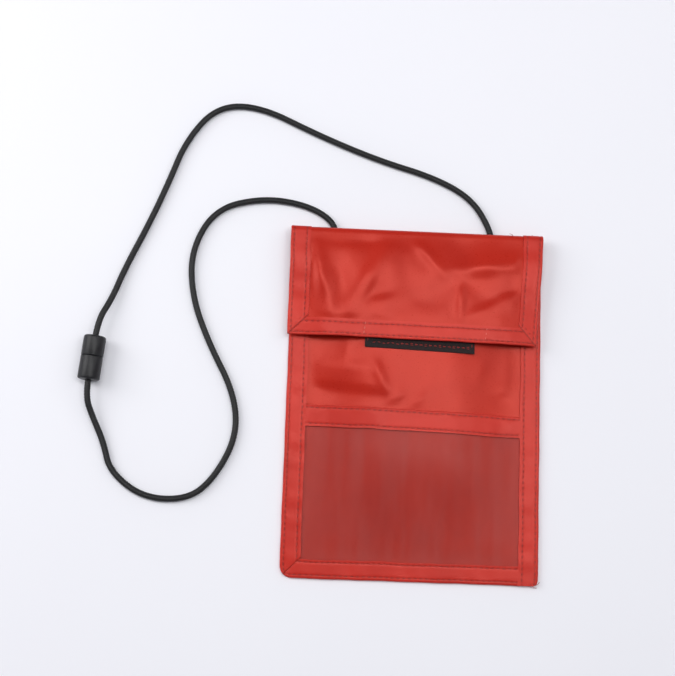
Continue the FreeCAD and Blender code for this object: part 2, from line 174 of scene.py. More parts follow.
def finishPiece(piece, body, finish, nodes=(), towards=None, angle=50, slot=None):
    # towards names the body at the far end of a piece that bends: (body, start, end); only whether it is given
    # is read: such a piece keeps its place in the world and joins no body
    piece.data.materials.clear()
    piece.data.materials.append(materials[finish])
    smooth(piece, angle)
    if towards:
        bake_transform(piece)
    else:
        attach(piece, body)
    if nodes:
        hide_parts(*nodes)
    return piece


def ripple(along, seed, lengths, height):
    # an uneven wave: a few sine waves whose starts are drawn from the seed
    draw = random.Random(seed)
    total = np.zeros_like(along)
    for length in lengths:
        total += np.sin(along * 2 * math.pi / length + draw.uniform(0, 2 * math.pi))
    return total * height / len(lengths)


# Materials

def srgb(code):
    # sRGB hex to the linear values that the shader takes
    parts = [int(code[i:i + 2], 16) / 255 for i in (0, 2, 4)]
    linear = [p / 12.92 if p <= 0.04045 else ((p + 0.055) / 1.055) ** 2.4 for p in parts]
    return (*linear, 1)


def addNode(tree, kind, settings=None, links=None, output=0, to=None):
    # settings: values by attribute or input; links: the sockets that lead in; to: where the output leads
    node = tree.nodes.new("ShaderNode" + kind)
    for name, value in (settings or {}).items():
        if hasattr(node, str(name)):
            setattr(node, name, value)
        else:
            node.inputs[name].default_value = value
    for name, socket in (links or {}).items():
        tree.links.new(socket, node.inputs[name])
    if to is not None:
        tree.links.new(node.outputs[output], to)
    return node.outputs[output]


def newMaterial(name, values):
    material = bpy.data.materials.new(name)
    material.use_nodes = True
    tree = material.node_tree
    sockets = tree.nodes["Principled BSDF"].inputs
    for key, value in values.items():
        sockets[key].default_value = value
    return material, tree, sockets, addNode(tree, "TexCoord", output="Object")


def mixShades(tree, pattern, look, limits, to=None):
    # the pattern, spread from 0 at the first limit to 1 at the second, picks between the dark and light shade
    spread = addNode(tree, "MapRange", {"From Min": limits[0], "From Max": limits[1]}, {"Value": pattern})
    shades = {"data_type": "RGBA", 6: srgb(look["dark"]), 7: srgb(look["light"])}
    return spread, addNode(tree, "Mix", shades, {0: spread}, 2, to)


# each cloth's third colour, after dark and light, is painted shade for the needle holes and the creases of
# mitred corners
cloths = {
    # 420-denier nylon, plain woven and coated: satin, its broad shine in the colour of the dyed fibres
    "nylon": {"name": "coatedNylon420D", "dark": "AC2217", "light": "B6271A", "wearAndShade": "7A140B",
              "rough": 0.3, "shine": (1.0, 0.25, 0.2, 1), "level": 0.62, "ior": 1.58,
              "across": 0.5, "along": 0.5, "mix": "MULTIPLY"},
    # Woven polyester binding, hot pressed to a fold: pinker, matt on its ribs, with painted shade where the
    # needle went
    "tape": {"name": "polyesterBindingTape", "dark": "B5281F", "light": "C22D23", "wearAndShade": "640E08",
             "rough": 0.33, "shine": (1.0, 0.3, 0.26, 1), "level": 0.62, "ior": 1.55,
             "across": 0.3, "along": 0.62, "mix": "ADD"},
}
clothGrain = {"blotch": 26, "fine": 1.1, "weaveRelief": 0.007, "fineRelief": 0.008, "smoother": 0.05,
              "rougher": 0.07, "rubbed": 0.5}
yarns = {
    # Twisted polyester thread: a shade deeper than the tape, with a dull shine along the fibres
    "thread": {"name": "polyesterSewingThread", "dark": "85160E", "light": "A8261B", "rough": 0.5,
               "sheen": 0.1},
    # The same thread rubbed pale where the fold is handled
    "paleThread": {"name": "polyesterThreadWornPale", "dark": "C5564B", "light": "DB8072", "rough": 0.5,
                   "sheen": 0.15},
    # Braided polyester cord: black, each strand with a faint grey line of light
    "braid": {"name": "polyesterBraidBlack", "dark": "070708", "light": "151517", "rough": 0.5,
              "sheen": 0.05},
}
piles = {
    # Loop tape: black nylon pile that swallows light; the red in its shades is painted bounce light from the
    # red cloth round it
    "loop": {"name": "nylonLoopTape", "dark": "140D0D", "light": "2B1D1D", "rough": 0.85, "sheen": 0.05},
    # Hook tape: stiff black nylon hooks with small glints
    "hook": {"name": "nylonHookTape", "dark": "101011", "light": "232123", "rough": 0.6, "sheen": 0.1},
}
fibreSize = {"yarn": (0.35, 0.04), "pile": (0.5, 0.12)}  # spacing and relief
film = {"dark": "6A5654", "light": "7E6E6C", "alpha": (0.07, 0.085), "rough": (0.3, 0.36), "streak": 5,
        "drawn": 0.06, "relief": 0.06}
acetal = {"dark": "18181A", "light": "262629", "rough": (0.34, 0.48), "grain": 0.28, "scuff": 3.5,
          "relief": 0.03}
# near and far: where the paper's painted glow begins and where it is full
paper = {"dark": "F0F0F6", "light": "F5F5FA", "blotch": 240, "near": 500, "far": 2000, "glow": 0.58}


def wovenCloth(look):
    # the weave follows the piece's own UV map, in metres; painted shade at needle holes and creases is stored
    # on the tapes only,
    # and "rubbedMatt" on the cloth behind the window, whose shine is lost against the film
    grain = clothGrain
    material, tree, sockets, place = newMaterial(look["name"], {
        "IOR": look["ior"], "Specular IOR Level": look["level"], "Specular Tint": look["shine"]})
    uv = addNode(tree, "UVMap", {"uv_map": "weave"})
    split = addNode(tree, "SeparateXYZ", links={0: uv}).node.outputs
    threads = {}
    for number, pitch in enumerate((look["across"], look["along"])):
        turns = addNode(tree, "Math", {"operation": "MULTIPLY", 1: 2 * math.pi / (pitch * mm)},
                        {0: split[number]})
        threads[number] = addNode(tree, "Math", {"operation": "SINE"}, {0: turns})
    weave = addNode(tree, "Math", {"operation": look["mix"]}, threads)
    blotch = addNode(tree, "TexNoise", {"Scale": 1 / (grain["blotch"] * mm), "Detail": 3.0},
                     {"Vector": place})
    shade = mixShades(tree, blotch, look, (0.35, 0.68))[1]
    gaps = addNode(tree, "MapRange", {"From Min": -1.0, "From Max": -0.2, "To Min": 0.35, "To Max": 0.0},
                   {"Value": weave})
    threaded = addNode(tree, "Mix", {"data_type": "RGBA", 7: srgb(look["dark"])}, {0: gaps, 6: shade}, 2)
    # painted shade: the third colour darkens the cloth at needle holes and mitre creases
    holeShade = addNode(tree, "Attribute", {"attribute_name": "needleHoleShade"}, output="Fac")
    addNode(tree, "Mix", {"data_type": "RGBA", 7: srgb(look["wearAndShade"])}, {0: holeShade, 6: threaded}, 2,
            sockets["Base Color"])
    fine = addNode(tree, "TexNoise", {"Scale": 1 / (grain["fine"] * mm), "Detail": 4.0, "Roughness": 0.7},
                   {"Vector": place})
    limits = {"From Min": 0.3, "From Max": 0.7, "To Min": look["rough"] - grain["smoother"],
              "To Max": look["rough"] + grain["rougher"]}
    wearAndShade = addNode(tree, "MapRange", limits, {"Value": fine})
    rubbed = addNode(tree, "Attribute", {"attribute_name": "rubbedMatt"}, output="Fac")
    addNode(tree, "Mix", {3: grain["rubbed"]}, {0: rubbed, 2: wearAndShade}, to=sockets["Roughness"])
    low = addNode(tree, "Bump", {"Strength": 0.35, "Distance": grain["weaveRelief"] * mm}, {"Height": weave})
    addNode(tree, "Bump", {"Strength": 0.4, "Distance": grain["fineRelief"] * mm},
            {"Height": fine, "Normal": low}, to=sockets["Normal"])
    return material


def fibrous(look, size, relief):
    # yarn and pile: two shades mixed fibre by fibre, with the same fibres raised
    material, tree, sockets, place = newMaterial(look["name"], {
        "Roughness": look["rough"], "IOR": 1.55, "Sheen Weight": look["sheen"], "Sheen Roughness": 0.4,
        "Specular IOR Level": 0.35})
    fibres = addNode(tree, "TexNoise", {"Scale": 1 / (size * mm), "Detail": 3.0, "Roughness": 0.6},
                     {"Vector": place})
    mixShades(tree, fibres, look, (0.36, 0.67), sockets["Base Color"])
    addNode(tree, "Bump", {"Strength": 0.5, "Distance": relief * mm}, {"Height": fibres},
            to=sockets["Normal"])
    return material


def clearVinyl():
    # Calendered PVC film: clear, a little grey, and hazier in long streaks where it has been flexed
    material, tree, sockets, place = newMaterial("clearVinylFilm", {"IOR": 1.53})
    drawn = addNode(tree, "Mapping", {"Scale": (1.0, film["drawn"], 1.0)}, {"Vector": place})
    streaks = addNode(tree, "TexNoise", {"Scale": 1 / (film["streak"] * mm), "Detail": 2.0},
                      {"Vector": drawn})
    spread = mixShades(tree, streaks, film, (0.38, 0.68), sockets["Base Color"])[0]
    for socket, (least, most) in (("Alpha", film["alpha"]), ("Roughness", film["rough"])):
        addNode(tree, "MapRange", {"To Min": least, "To Max": most}, {"Value": spread}, to=sockets[socket])
    addNode(tree, "Bump", {"Strength": 0.2, "Distance": film["relief"] * mm}, {"Height": streaks},
            to=sockets["Normal"])
    return material


def mouldedAcetal():
    # Injection-moulded acetal with a spark-eroded skin: near black, satin, faintly scuffed
    material, tree, sockets, place = newMaterial("blackAcetalMoulded", {
        "IOR": 1.48, "Specular IOR Level": 0.32})
    grain = addNode(tree, "TexNoise", {"Scale": 1 / (acetal["grain"] * mm), "Detail": 4.0}, {"Vector": place})
    scuffs = addNode(tree, "TexNoise", {"Scale": 1 / (acetal["scuff"] * mm), "Detail": 5.0, "Roughness": 0.7},
                     {"Vector": place})
    spread = mixShades(tree, scuffs, acetal, (0.35, 0.72), sockets["Base Color"])[0]
    addNode(tree, "MapRange", {"To Min": acetal["rough"][0], "To Max": acetal["rough"][1]}, {"Value": spread},
            to=sockets["Roughness"])
    addNode(tree, "Bump", {"Strength": 0.25, "Distance": acetal["relief"] * mm}, {"Height": grain},
            to=sockets["Normal"])
    return material


def matPaper():
    # The table: matt coated paper, very pale and cool, with a painted glow that grows far from the pouch so it
    # meets the wall
    material, tree, sockets, place = newMaterial("matPaperSweep", {
        "Roughness": 0.75, "IOR": 1.45, "Specular IOR Level": 0.2, "Emission Color": srgb(paper["light"])})
    blotch = addNode(tree, "TexNoise", {"Scale": 1 / (paper["blotch"] * mm), "Detail": 2.0},
                     {"Vector": place})
    mixShades(tree, blotch, paper, (0, 1), sockets["Base Color"])
    # painted light: the paper glows more the further it lies from the pouch
    away = addNode(tree, "VectorMath", {"operation": "LENGTH"}, {0: place}, "Value")
    addNode(tree, "MapRange", {"From Min": paper["near"] * mm, "From Max": paper["far"] * mm,
                               "To Max": paper["glow"]}, {"Value": away}, to=sockets["Emission Strength"])
    return material


def makeMaterials():
    made = {key: wovenCloth(look) for key, look in cloths.items()}
    made.update({key: fibrous(look, *fibreSize["yarn"]) for key, look in yarns.items()})
    made.update({key: fibrous(look, *fibreSize["pile"]) for key, look in piles.items()})
    made["vinyl"] = clearVinyl()
    made["acetal"] = mouldedAcetal()
    made["paper"] = matPaper()
    return made


materials = makeMaterials()
print("materials made:", len(materials))


# Camera, floor and lights

camera = {"place": (-65.0, -82.1, 670.6), "turn": (9.572, -2.555, 1.987), "focal": 72.09, "sensor": 36.0}
floor = {"size": 5000, "drop": 0.05}
softboxes = {  # place, size (wide, long) and watts
    "leftSoftbox": ((-860, 300, 600), (480, 700), 5.3),
    "rightSoftbox": ((640, 320, 720), (420, 640), 1.5),
    "overheadStrip": ((60, 210, 1200), (1200, 240), 7.2),
}
sky = {"horizon": 0.85, "overhead": 0.24, "reach": 0.45, "colour": "F4F5FC"}  # paler near the horizon


def makeCamera():
    data = bpy.data.cameras.new("productCamera")
    data.lens = camera["focal"]
    data.sensor_width = camera["sensor"]
    data.clip_start = 0.01
    eye = bpy.data.objects.new("productCamera", data)
    eye.location = [v * mm for v in camera["place"]]
    eye.rotation_euler = [math.radians(v) for v in camera["turn"]]
    bpy.context.scene.collection.objects.link(eye)
    bpy.context.scene.camera = eye


def makeStage():
    deselectAll()
    bpy.ops.mesh.primitive_plane_add(size=floor["size"] * mm, location=(0, 0, -floor["drop"] * mm))
    table = bpy.context.object
    table.name = "paperSweep"
    table.data.materials.append(materials["paper"])
    target = Vector((-0.03, 0, 0))
    for name, (place, size, watts) in softboxes.items():
        data = bpy.data.lights.new(name, "AREA")
        data.shape = "RECTANGLE"
        data.size, data.size_y = (v * mm for v in size)
        data.energy = watts
        lamp = bpy.data.objects.new(name, data)
        lamp.location = Vector(place) * mm
        lamp.rotation_euler = (target - lamp.location).to_track_quat("-Z", "Y").to_euler()
        bpy.context.scene.collection.objects.link(lamp)
    world = bpy.data.worlds.new("paleRoom")
    world.use_nodes = True
    tree = world.node_tree
    light = tree.nodes["Background"].inputs
    light["Color"].default_value = srgb(sky["colour"])
    way = addNode(tree, "TexCoord", output="Generated")
    height = addNode(tree, "SeparateXYZ", links={0: way}, output="Z")
    addNode(tree, "MapRange", {"From Max": sky["reach"], "To Min": sky["horizon"], "To Max": sky["overhead"]},
            {"Value": height}, to=light["Strength"])
    bpy.context.scene.world = world
    bpy.context.scene.view_settings.view_transform = "Standard"
    bpy.context.scene.view_settings.look = "None"


makeCamera()
makeStage()
print("camera, floor and lights made")


# Cords: the same route points as the CAD tubes, read back from a smooth NURBS line

claspCentre = Vector((-160.1, 16.9, 5.5))
claspAxis = Vector((math.sin(math.radians(5.5)), math.cos(math.radians(5.5)), 0))
cordSize = {"diameter": 3.0, "coreRadius": 1.3, "strandRadius": 1.3, "wave": 0.09, "strandWide": 0.52,
            "strandThick": 0.2, "twist": 8.4, "perWay": 6, "step": 0.34}
floorLevel = 1.55  # the cord's centre where it lies on the table


def alongClasp(distance):
    return tuple(claspCentre + claspAxis * distance)


upperRoute = [
    (38.5, 74, 1.9), (38.5, 80.5, 1.9),
    *[(x, y, floorLevel) for x, y in (
        (36.5, 92.5), (26.5, 107.5), (7, 117.5), (-21, 125), (-52.5, 137), (-83, 151), (-105, 150),
        (-120, 131), (-128, 107.5), (-136.5, 86), (-147, 63))],
    (-152.5, 46.5, 3.2), alongClasp(18.5), alongClasp(7.25),
]
lowerRoute = [
    (-41.5, 74, 1.9), (-41.5, 80.5, 1.9),
    *[(x, y, floorLevel) for x, y in (
        (-42.5, 91.5), (-57, 99.8), (-79, 102.5), (-103, 96), (-114.5, 74), (-112.8, 50),
        (-103.5, 27), (-89.5, 2), (-87, -19.5), (-97.5, -41), (-110, -51.5), (-131.8, -51.3),
        (-148.5, -39), (-152.3, -25))],
    (-158.5, -12.2, 3.2), alongClasp(-20), alongClasp(-10.45),
]


def smoothLine(name, route):
    # the route's points steer a NURBS spline, and its own mesh gives the line that the strands follow
    data = bpy.data.curves.new(name, "CURVE")
    data.dimensions = "3D"
    data.resolution_u = 24
    spline = data.splines.new("NURBS")
    spline.points.add(len(route) - 1)
    for point, place in zip(spline.points, route):
        point.co = (*[v * mm for v in place], 1)
    spline.order_u = 3
    spline.use_endpoint_u = True
    guide = bpy.data.objects.new(name, data)
    bpy.context.scene.collection.objects.link(guide)
    bpy.context.view_layer.update()
    mesh = bpy.data.meshes.new_from_object(guide)
    line = np.array([v.co for v in mesh.vertices], float)
    bpy.data.objects.remove(guide)
    bpy.data.meshes.remove(mesh)
    return line


def evenSteps(line, step):
    lengths = np.linalg.norm(np.diff(line, axis=0), axis=1)
    keep = np.concatenate(([True], lengths > 1e-7))
    line = line[keep]
    reach = np.concatenate(([0], np.cumsum(np.linalg.norm(np.diff(line, axis=0), axis=1))))
    count = int(reach[-1] / step)
    at = np.linspace(0, reach[-1], count + 1)
    return np.stack([np.interp(at, reach, line[:, k]) for k in range(3)], axis=1), at


def sidewaysOf(line):
    # two directions square to the line at each point, carried along without twist
    ahead = np.gradient(line, axis=0)
    ahead /= np.linalg.norm(ahead, axis=1)[:, None]
    first = np.empty_like(line)
    first[0] = np.cross(ahead[0], (0, 0, 1) if abs(ahead[0][2]) < 0.9 else (0, 1, 0))
    first[0] /= np.linalg.norm(first[0])
    for i in range(1, len(line)):
        side = first[i - 1] - ahead[i] * (first[i - 1] @ ahead[i])
        first[i] = side / np.linalg.norm(side)
    return first, np.cross(ahead, first)


def tube(line, ring, section):
    # one closed tube of `ring` sides; its section is two directions at each point and the radius along each
    first, second, wide, thick = section
    turns = np.arange(ring) * 2 * math.pi / ring
    rings = (line[:, None, :] + first[:, None, :] * (wide[:, None] * np.cos(turns))[:, :, None]
             + second[:, None, :] * (thick[:, None] * np.sin(turns))[:, :, None])
    points = rings.reshape(-1, 3)
    faces = []
    for i in range(len(line) - 1):
        for k in range(ring):
            n = (k + 1) % ring
            faces.append((i * ring + k, i * ring + n, (i + 1) * ring + n, (i + 1) * ring + k))
    faces.append(tuple(range(ring))[::-1])
    faces.append(tuple((len(line) - 1) * ring + k for k in range(ring)))
    return points, faces


def roundTube(line, sides, radius):
    thick = np.full(len(line), radius)
    return tube(line, sides, (*sidewaysOf(line), thick, thick))


def braidedCord(name, route):
    size = cordSize
    line, reach = evenSteps(smoothLine(name + "Line", route), size["step"] * mm)
    first, second = sidewaysOf(line)
    allPoints, allFaces, start = [], [], 0

    def add(points, faces):
        nonlocal start
        allPoints.append(points)
        allFaces.extend(tuple(i + start for i in f) for f in faces)
        start += len(points)

    wide, thick = (np.full(len(line), size[key] * mm) for key in ("strandWide", "strandThick"))
    add(*roundTube(line, 10, size["coreRadius"] * mm))
    count = size["perWay"]
    wave = size["wave"] * mm * np.cos(2 * math.pi * count * reach / (size["twist"] * mm))
    for way in (1, -1):
        for k in range(count):
            turn = way * 2 * math.pi * reach / (size["twist"] * mm) + 2 * math.pi * k / count
            out = first * np.cos(turn)[:, None] + second * np.sin(turn)[:, None]
            radius = size["strandRadius"] * mm + way * wave
            strand = line + out * radius[:, None]
            ahead = np.gradient(strand, axis=0)
            ahead /= np.linalg.norm(ahead, axis=1)[:, None]
            side = np.cross(ahead, out)
            side /= np.linalg.norm(side, axis=1)[:, None]
            add(*tube(strand, 5, (side, out, wide, thick)))
    cord = meshPiece(name, np.concatenate(allPoints), allFaces)
    faceOutwards(cord)
    return cord, line, reach[-1]


upperCord, upperLine, upperLength = braidedCord("neckCordUpper", upperRoute)
lowerCord, lowerLine, lowerLength = braidedCord("neckCordLower", lowerRoute)
reachOfPlug = ("clasp_plug", (-0.120, 0, 0.0015), (-0.155, 0, 0.0015))
finishPiece(upperCord, "pouch", "braid", ["neck_cord_upper"])
finishPiece(lowerCord, "pouch", "braid", ["neck_cord_lower"], towards=reachOfPlug)
print("cords made:", round(upperLength / mm), "and", round(lowerLength / mm), "mm long")


# The breakaway clasp: two moulded halves and the knots inside them

clasp = {"radius": 5.5, "hole": 1.62, "rim": 1.1, "mating": 0.32, "socketLong": 10.25, "plugLong": 11.6,
         "gap": 0.15, "bore": 4.0, "boreDeep": 5.6, "prong": 3.7, "prongBore": 3.0, "prongLong": 5.15,
         "sides": 48, "lipRim": 0.3, "lipWall": 1.2, "holeDeep": 3.0}
knot = {"turn": 0.92, "swing": 0.42, "height": 0.5, "cord": 1.05}


def claspPlace():
    # local +Z runs along the clasp, from the plug to the socket
    side = Vector((0, 0, 1)).cross(claspAxis).normalized()
    turn = Matrix((side, claspAxis.cross(side), claspAxis)).transposed().to_4x4()
    return Matrix.Translation(claspCentre * mm) @ turn


def selectFaces(piece, test):
    bpy.ops.object.mode_set(mode="OBJECT")
    for polygon in piece.data.polygons:
        polygon.select = test(polygon.center / mm, polygon.normal)
    for edge in piece.data.edges:
        edge.select = False
    for vertex in piece.data.vertices:
        vertex.select = False
    bpy.ops.object.mode_set(mode="EDIT")
    bpy.ops.mesh.select_mode(type="FACE")


def roundRims(piece, tests):
    # tests: (height, radius, bevel, segments) of each rim edge loop to round
    for height, radius, width, segments in tests:
        bpy.ops.object.mode_set(mode="EDIT")
        bpy.ops.mesh.select_all(action="DESELECT")
        bpy.ops.mesh.select_mode(type="EDGE")
        bpy.ops.object.mode_set(mode="OBJECT")
        points = [v.co / mm for v in piece.data.vertices]
        for edge in piece.data.edges:
            ends = [points[i] for i in edge.vertices]
            edge.select = all(abs(p.z - height) < 0.02 and abs(p.xy.length - radius) < 0.02 for p in ends)
        bpy.ops.object.mode_set(mode="EDIT")
        bpy.ops.mesh.bevel(offset=width * mm, segments=segments, profile=0.5, affect="EDGES")
    bpy.ops.object.mode_set(mode="OBJECT")


def claspHalf(name, low, high):
    deselectAll()
    bpy.ops.mesh.primitive_cylinder_add(vertices=clasp["sides"], radius=clasp["radius"] * mm,
                                        depth=(high - low) * mm, location=(0, 0, (low + high) / 2 * mm))
    piece = bpy.context.object
    piece.name = name
    bpy.ops.object.transform_apply(location=True, rotation=True, scale=True)
    return piece


def sink(piece, height, up, stages):
    # insets and drives in the end face at that height: stages are (inset, depth)
    selectFaces(piece, lambda centre, normal: abs(centre.z - height) < 0.05 and abs(normal.z) > 0.9)
    for inset, depth in stages:
        bpy.ops.mesh.inset(thickness=inset * mm, depth=0)
        if depth:
            bpy.ops.mesh.extrude_region_move(TRANSFORM_OT_translate={"value": (0, 0, -up * depth * mm)})
    bpy.ops.object.mode_set(mode="OBJECT")


def makeClasp():
    high = clasp["socketLong"]
    socket = claspHalf("claspSocketHalf", 0, high)
    sink(socket, high, 1, [(clasp["radius"] - clasp["hole"], high - clasp["boreDeep"] - clasp["lipWall"])])
    sink(socket, 0, -1, [(clasp["radius"] - clasp["bore"], clasp["boreDeep"])])
    roundRims(socket, [(high, clasp["radius"], clasp["rim"], 5), (0, clasp["radius"], clasp["mating"], 3),
                       (high, clasp["hole"], clasp["lipRim"], 2), (0, clasp["bore"], 0.2, 2)])
    low = -clasp["gap"] - clasp["plugLong"]
    plug = claspHalf("claspPlugHalf", low, -clasp["gap"])
    sink(plug, low, -1, [(clasp["radius"] - clasp["hole"], clasp["holeDeep"])])
    sink(plug, -clasp["gap"], 1, [(clasp["radius"] - clasp["prong"], -clasp["prongLong"]),
                                  (clasp["prong"] - clasp["prongBore"], clasp["prongLong"] + 4.0)])
    tip = clasp["prongLong"] - clasp["gap"]
    roundRims(plug, [(low, clasp["radius"], clasp["rim"], 5),
                     (-clasp["gap"], clasp["radius"], clasp["mating"], 3),
                     (low, clasp["hole"], clasp["lipRim"], 2), (tip, clasp["prong"], clasp["lipRim"], 2)])
    for piece, body, node in ((socket, "pouch", "clasp_socket"), (plug, "clasp_plug", "clasp_plug")):
        piece.data.transform(claspPlace())
        faceOutwards(piece)
        finishPiece(piece, body, "acetal", [node], angle=35)
    return socket, plug


def makeKnot(name, node, body):
    # an overhand knot pulled tight: a trefoil of cord
    low, high = corners(node)
    centre = (Vector(low) + Vector(high)) / 2
    turn = np.linspace(0, 2 * math.pi, 73)[:-1]
    radius = knot["turn"] + knot["swing"] * np.cos(3 * turn)
    height = knot["height"] * np.sin(3 * turn)
    local = np.stack([radius * np.cos(2 * turn), radius * np.sin(2 * turn), height], axis=1)
    local = np.concatenate([local, local[:1]])
    place = claspPlace().to_3x3()
    line = np.array([place @ Vector(p) * mm + centre * mm for p in local])
    piece = meshPiece(name, *roundTube(line, 10, knot["cord"] * mm))
    faceOutwards(piece)
    return finishPiece(piece, body, "braid", [node])


socketHalf, plugHalf = makeClasp()
upperKnot = makeKnot("upperCordKnot", "cord_knot_upper", "pouch")
lowerKnot = makeKnot("lowerCordKnot", "cord_knot_lower", "clasp_plug")
print("clasp and knots made")


# How the layers lie: heights over the table, shared by cloth, tapes and stitches

backLow, backHigh = corners("back_panel")
frontLow, frontHigh = corners("front_panel")
bottomLow, bottomHigh = corners("bottom_binding")
pouch = {"half": -bottomLow[0], "bottom": bottomLow[1], "seam": 53.5, "flatHalf": 16.0,
         "bottomSeam": bottomHigh[1], "flatBottom": -24.0, "mouth": frontHigh[1],
         "rampLow": 67.0, "rampHigh": 74.0, "shelf": 4.25, "cloth": 0.4}
levels = {  # each layer's middle over the table, at the seams and in the middle of the front
    "front": (1.0, 5.5), "hem": (1.1, 5.55), "film": (1.4, 6.45), "mouthTape": (1.55, 6.45),
}
windowTop = -3.4
windowSlant = 0.0215  # the window's mouth was cut and sewn a little askew
cornerRadii = {-1: 6.5, 1: 3.2}  # the pouch's lower left and right corners


def rise(x, y):
    side = easeIn((pouch["seam"] - np.abs(x)) / (pouch["seam"] - pouch["flatHalf"]))
    foot = easeIn((y - pouch["bottomSeam"]) / (pouch["flatBottom"] - pouch["bottomSeam"]))
    return side * foot


def layerHeight(layer, x, y):
    edge, middle = levels[layer]
    return edge + (middle - edge) * rise(x, y)


def ramp(y):
    return easeIn((y - pouch["rampLow"]) / (pouch["rampHigh"] - pouch["rampLow"]))


def roundCorners(x, y):
    # a square patch at each corner is drawn in to a round one, for every layer alike
    x, y = x.copy(), y.copy()
    for sideX, radius in cornerRadii.items():
        centreX = sideX * (pouch["half"] - radius)
        centreY = pouch["bottom"] + radius
        a = (x - centreX) * sideX / radius
        b = (centreY - y) / radius
        inside = (a > 0) & (b > 0)
        a, b = np.clip(a, 0, 1), np.clip(b, 0, 1)
        newX = centreX + sideX * radius * a * np.sqrt(1 - b * b / 2)
        newY = centreY - radius * b * np.sqrt(1 - a * a / 2)
        x[inside], y[inside] = newX[inside], newY[inside]
    return x, y


def foldsAt(x, y, folds):
    # soft folds pressed in: place, turn, half length, half width and height of each
    # a ridge (or, with a height below zero, a dent) runs along its length; a step is a band of steady slope
    total = np.zeros_like(x)
    for kind, (placeX, placeY), turn, long, wide, high in folds:
        c, s = math.cos(math.radians(turn)), math.sin(math.radians(turn))
        a = ((x - placeX) * c + (y - placeY) * s) / long
        b = (-(x - placeX) * s + (y - placeY) * c) / wide
        across = np.exp(-b * b) if kind == "ridge" else b * np.exp(0.32 - np.sqrt(b * b + 0.1))
        total += high * across * np.exp(-a * a)
    return total


# Cloth panels

frontFolds = [
    ("step", (-35, 7.2), -7, 21, 3.2, 1.2), ("ridge", (-17, 12.3), -67, 8.5, 2.0, 0.65),
    ("ridge", (-34.3, 26.2), 84, 5, 2.6, 0.45), ("ridge", (-9, 2.6), 40, 4.5, 1.8, 0.55),
    ("ridge", (2.4, 1.6), 48, 5, 1.8, 0.55), ("step", (44, 6), 12, 9, 2.8, 0.4),
    ("ridge", (46, 20), 84, 10, 2.6, 0.3), ("ridge", (33, 21), 76, 9, 3.2, 0.25),
    ("ridge", (-36, 17), -4, 16, 4.5, 0.6),
]
flapFolds = [
    ("ridge", (-47, 60), -76, 15, 4.2, 1.4), ("ridge", (-25.5, 60), 63, 18, 4.4, 1.6),
    ("ridge", (-38, 64), 90, 9, 3.4, -0.5), ("step", (-17.5, 52.5), 18, 7, 4.4, -1.2),
    ("ridge", (5, 75), -50, 11, 3.0, 0.8), ("ridge", (38, 70.5), 9.5, 23, 4.6, 1.3),
    ("ridge", (22.5, 52), 89, 10, 2.0, 0.8), ("step", (37, 51.5), 27, 11, 3.2, -1.0),
    ("step", (49, 57), 8, 7, 2.8, -0.6), ("step", (-52, 47), -60, 7, 2.2, 0.5),
    ("step", (-28, 79), 2, 17, 4.5, -0.7),
]
slack = {"scale": 20, "frames": 22, "cell": 1.6, "spare": -0.006, "start": 0.15, "height": 0.45,
         "soften": 12}
held = {"side": 52.5, "foot": -76, "mouth": 50, "patchX": 2, "patchHalf": 27.5, "patchY": (26.5, 46.5)}
coatedNylon = {"quality": 6, "mass": 0.15, "tension_stiffness": 18, "compression_stiffness": 18,
               "shear_stiffness": 6, "bending_stiffness": 3.0, "air_damping": 3}


def clothGrid(name, low, high, cell):
    # a flat grid in millimetres
    wide, long = high[0] - low[0], high[1] - low[1]
    piece, across, along = flatGrid(name, max(2, round(wide / cell)), max(2, round(long / cell)))
    nameWeave(piece, wide * mm, long * mm)
    return piece, low[0] + across * wide, low[1] + along * long


def slackWaves(piece, x, y, z, pinned):
    # the panel is cut a little large for its seams: cloth simulation finds how the spare cloth buckles
    scale = slack["scale"]
    draw = np.random.default_rng(11)
    start = np.stack([x, y, z], axis=1)
    bumped = start.copy()
    bumped[~pinned, 2] += draw.uniform(-slack["start"], slack["start"], (~pinned).sum())
    writePoints(piece, bumped * mm * scale)
    group = piece.vertex_groups.new(name="sewnDown")
    group.add([int(i) for i in np.flatnonzero(pinned)], 1.0, "REPLACE")
    cloth = piece.modifiers.new("slack", "CLOTH")
    cloth.settings.vertex_group_mass = "sewnDown"
    cloth.settings.shrink_min = slack["spare"]
    cloth.settings.effector_weights.gravity = 0
    for name, value in coatedNylon.items():
        setattr(cloth.settings, name, value)
    cloth.point_cache.frame_start = 1
    cloth.point_cache.frame_end = slack["frames"]
    for number in range(1, slack["frames"] + 1):
        bpy.context.scene.frame_set(number)
    choose(piece)
    bpy.ops.object.modifier_apply(modifier="slack")
    bpy.context.scene.frame_set(1)
    piece.vertex_groups.clear()
    moved = readPoints(piece) / (mm * scale) - start
    print(piece.name, "slack waves up to, mm:", round(float(np.abs(moved[:, 2]).max()), 2))
    eased = softened(piece, moved[:, 2], slack["soften"])
    return eased * slack["height"] / np.abs(eased).max()


def softened(piece, values, rounds):
    # evens out the heights along the grid's edges, which takes off crumples too fine for the cloth
    ends = np.empty(len(piece.data.edges) * 2, int)
    piece.data.edges.foreach_get("vertices", ends)
    ends = ends.reshape(-1, 2)
    count = np.bincount(ends.ravel(), minlength=len(values))
    for _ in range(rounds):
        total = np.bincount(ends[:, 0], values[ends[:, 1]], len(values))
        total += np.bincount(ends[:, 1], values[ends[:, 0]], len(values))
        values = (values + total) / (count + 1)
    return values


def storeValues(piece, name, values):
    layer = piece.data.attributes.new(name, "FLOAT", "POINT")
    layer.data.foreach_set("value", values.astype(np.float32))


def thicken(piece, thickness):
    applyModifier(piece, "SOLIDIFY", thickness=thickness * mm, offset=0.0, use_even_offset=True)


